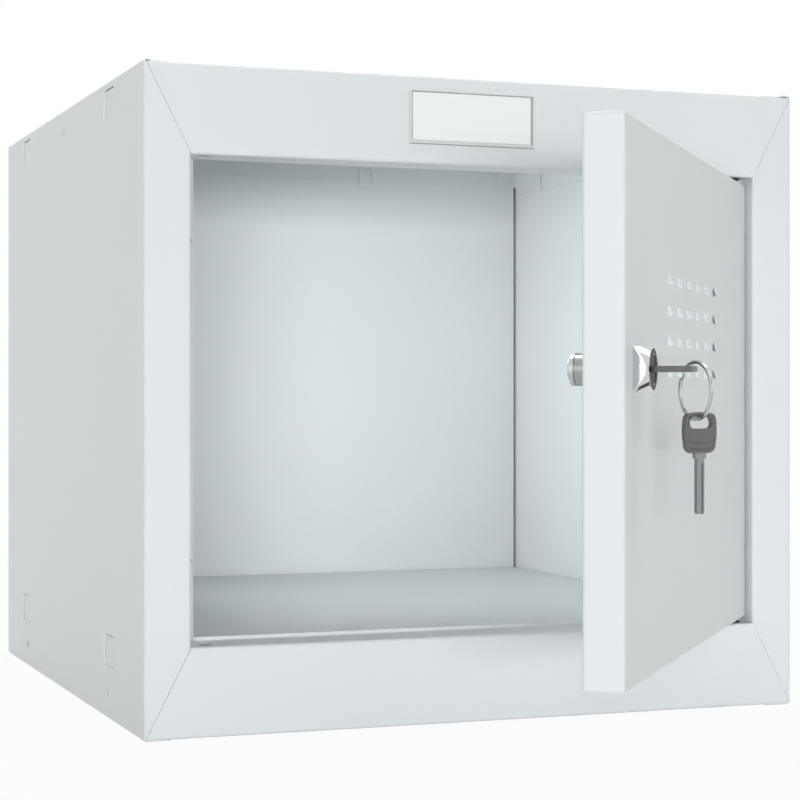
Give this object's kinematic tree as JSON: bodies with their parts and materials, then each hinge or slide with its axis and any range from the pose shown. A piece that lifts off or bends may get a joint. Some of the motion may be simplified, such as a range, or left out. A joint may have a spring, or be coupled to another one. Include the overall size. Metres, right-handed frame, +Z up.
{
  "type": "cube locker",
  "caption": "Square sheet-steel storage cube with a hinged vented door, key cam lock, keys on a ring and a label holder.",
  "frame": {"origin": "centre of the body's footprint, on the surface that it stands on", "axes": "+X to the right across the front, +Y from the front to the back, +Z up; the door stands 49.7 degrees open at rest"},
  "size_m": [0.4, 0.662, 0.367],
  "materials": {
    "paint": "powder-coated light grey, fine satin texture",
    "steel": "zinc plated",
    "chrome": "bright plated zinc casting",
    "nylon": "moulded black nylon",
    "rubber": "moulded light grey, matt",
    "card": "plain white card",
    "bow_plastic": "moulded dark grey"
  },
  "bodies": {
    "body": {"side_panel_left": "paint", "side_panel_right": "paint", "top_panel": "paint", "bottom_rail": "paint", "floor_tray": "paint", "back_panel": "paint", "corner_plates": "paint", "pivot_bushes": "nylon", "label_holder": "paint", "label_card": "card", "door_buffers": "rubber"},
    "door": {"door_skin": "paint", "pivot_blocks": "steel", "pivot_pins": "steel", "lock_body": "chrome", "lock_nut": "steel"},
    "lock_core": {"lock_plug": "chrome", "lock_cam": "steel", "cam_screw": "steel"},
    "key": {"key_blade": "steel", "key_bow": "bow_plastic"},
    "ring": {"key_ring": "chrome"},
    "spare_key": {"spare_key_blade": "steel", "spare_key_bow": "bow_plastic"}
  },
  "joints": [
    {"name": "door_hinge", "type": "hinge", "parent": "body", "child": "door", "pos_m": [0.1634, -0.189, 0.18295], "axis": [0, 0, 1], "range_deg": [-49.7, 40.3]},
    {"name": "lock_turn", "type": "hinge", "parent": "door", "child": "lock_core", "pos_m": [-0.02747, -0.42914, 0.1978], "axis": [0.7627, -0.6468, 0], "range_deg": [0, 180]},
    {"name": "key_pull", "type": "slide", "parent": "lock_core", "child": "key", "axis": [0.7627, -0.6468, 0], "range_m": [0, 0.035]},
    {"name": "ring_swing", "type": "hinge", "parent": "key", "child": "ring", "pos_m": [-0.0098, -0.44727, 0.1978], "axis": [0.6468, 0.7627, 0], "range_deg": [-10, 4]},
    {"name": "spare_swing", "type": "hinge", "parent": "ring", "child": "spare_key", "pos_m": [-0.00854, -0.44834, 0.17513], "axis": [0.0401, -0.9992, 0], "range_deg": [-18, 18]}
  ]
}
